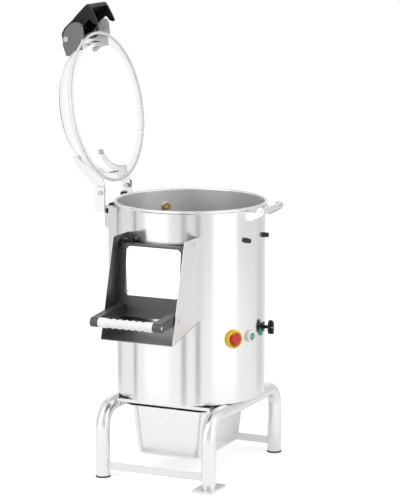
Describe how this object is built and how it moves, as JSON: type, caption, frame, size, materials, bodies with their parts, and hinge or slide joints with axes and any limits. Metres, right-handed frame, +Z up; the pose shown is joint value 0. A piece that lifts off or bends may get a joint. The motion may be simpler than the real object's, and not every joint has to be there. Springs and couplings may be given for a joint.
{
  "type": "electric potato peeler",
  "caption": "Floor-standing drum peeler with clear hinged lid, side controls, outlet chute with hinged door, tube legs and a peel pan.",
  "frame": {"origin": "centre of the bounding box's bottom face, on the floor, with the lid open at rest", "axes": "+Z up, -Y towards the outlet chute, +X towards the controls and the catch bar"},
  "size_m": [0.6494, 0.7174, 1.3698],
  "materials": {
    "satin_steel": "brushed stainless steel",
    "polished_steel": "polished stainless steel",
    "dark_steel": "dark grey painted steel",
    "cast_metal": "cast and painted aluminium",
    "clear_plastic": "clear moulded polycarbonate",
    "seal_rubber": "pale sealing rubber",
    "black_plastic": "black moulded plastic",
    "white_plastic": "white moulded plastic",
    "yellow_plastic": "yellow moulded plastic",
    "red_plastic": "red moulded plastic",
    "green_plastic": "green moulded plastic",
    "black_rubber": "black rubber",
    "abrasive_grit": "bonded abrasive grit",
    "brass_fitting": "turned brass"
  },
  "bodies": {
    "frame": {"abrasive_lining": "abrasive_grit", "base_cover": "satin_steel", "bearing_housing": "cast_metal", "catch_bar": "polished_steel", "catch_brackets": "polished_steel", "chamber_floor": "satin_steel", "chute_floor": "satin_steel", "chute_left_plate": "satin_steel", "chute_right_plate": "satin_steel", "control_box": "black_plastic", "door_catch_studs": "polished_steel", "door_pivot_bolts": "polished_steel", "drive_belt": "black_rubber", "drum_shell": "satin_steel", "estop_plate": "yellow_plastic", "floor_plates": "satin_steel", "front_cross_bar": "satin_steel", "hinge_bracket": "satin_steel", "hinge_buffers": "black_rubber", "hinge_ears": "satin_steel", "hinge_pin": "polished_steel", "left_leg_arch": "polished_steel", "motor": "cast_metal", "motor_bracket": "cast_metal", "pilot_lamp": "green_plastic", "rear_cross_bar": "satin_steel", "right_leg_arch": "polished_steel", "rubber_bumpers": "black_rubber", "rubber_feet": "black_rubber", "shaft_bearings": "polished_steel", "shaft_seal": "black_rubber", "start_bezel": "white_plastic", "support_tray": "satin_steel", "switch_plate": "black_plastic", "waste_pipe": "satin_steel", "water_nozzle": "brass_fitting"},
    "lid": {"lid_dome": "clear_plastic", "lid_gasket": "seal_rubber", "lid_arms": "satin_steel", "latch_cheeks": "satin_steel", "latch_pin": "polished_steel", "lid_fixings": "polished_steel"},
    "latch": {"latch_handle": "black_plastic"},
    "door": {"door_panel": "satin_steel", "door_liner": "polished_steel", "door_screws": "polished_steel", "door_arms": "dark_steel", "door_grip": "white_plastic", "grip_rod": "polished_steel"},
    "disc": {"abrasive_disc": "abrasive_grit", "disc_hub": "satin_steel", "drive_shaft": "polished_steel", "large_pulley": "cast_metal"},
    "rotor": {"motor_shaft": "polished_steel", "motor_pulley": "cast_metal"},
    "estop": {"estop_button": "red_plastic"},
    "start": {"start_button": "green_plastic"},
    "switch": {"switch_knob": "black_plastic"},
    "pan": {"peel_pan": "satin_steel"}
  },
  "joints": [
    {"name": "lid_hinge", "type": "hinge", "parent": "frame", "child": "lid", "pos_m": [-0.18676, 0.07675, 0.82], "axis": [0, 1, 0], "range_deg": [0, 100]},
    {"name": "latch_swing", "type": "hinge", "parent": "lid", "child": "latch", "pos_m": [-0.30719, 0.07675, 1.26688], "axis": [0, -1, 0], "range_deg": [0, 30], "stiffness_Nm_per_rad": 2, "springref_deg": -20.05},
    {"name": "door_swing", "type": "hinge", "parent": "frame", "child": "door", "pos_m": [0.05824, -0.13875, 0.71], "axis": [-1, 0, 0], "range_deg": [0, 65]},
    {"name": "disc_spin", "type": "hinge", "parent": "frame", "child": "disc", "pos_m": [0.05824, 0.07675, 0.48], "axis": [0, 0, 1], "continuous": true},
    {"name": "motor_spin", "type": "hinge", "parent": "frame", "child": "rotor", "pos_m": [0.05824, 0.21175, 0.3], "axis": [0, 0, 1], "continuous": true},
    {"name": "estop_press", "type": "slide", "parent": "frame", "child": "estop", "axis": [-0.8616, 0.5075, 0], "range_m": [0, 0.005], "stiffness_N_per_m": 800, "springref_m": -0.003},
    {"name": "start_press", "type": "slide", "parent": "frame", "child": "start", "axis": [-0.9732, 0.23, 0], "range_m": [0, 0.003], "stiffness_N_per_m": 500, "springref_m": -0.003},
    {"name": "switch_turn", "type": "hinge", "parent": "frame", "child": "switch", "pos_m": [0.27522, 0.11306, 0.432], "axis": [0.9863, 0.165, 0], "range_deg": [0, 90]},
    {"name": "pan_slide", "type": "slide", "parent": "frame", "child": "pan", "axis": [0, -1, 0], "range_m": [0, 0.33]}
  ],
  "couplings": [
    {"joint": "motor_spin", "follows": "disc_spin", "ratio": 3.79}
  ]
}
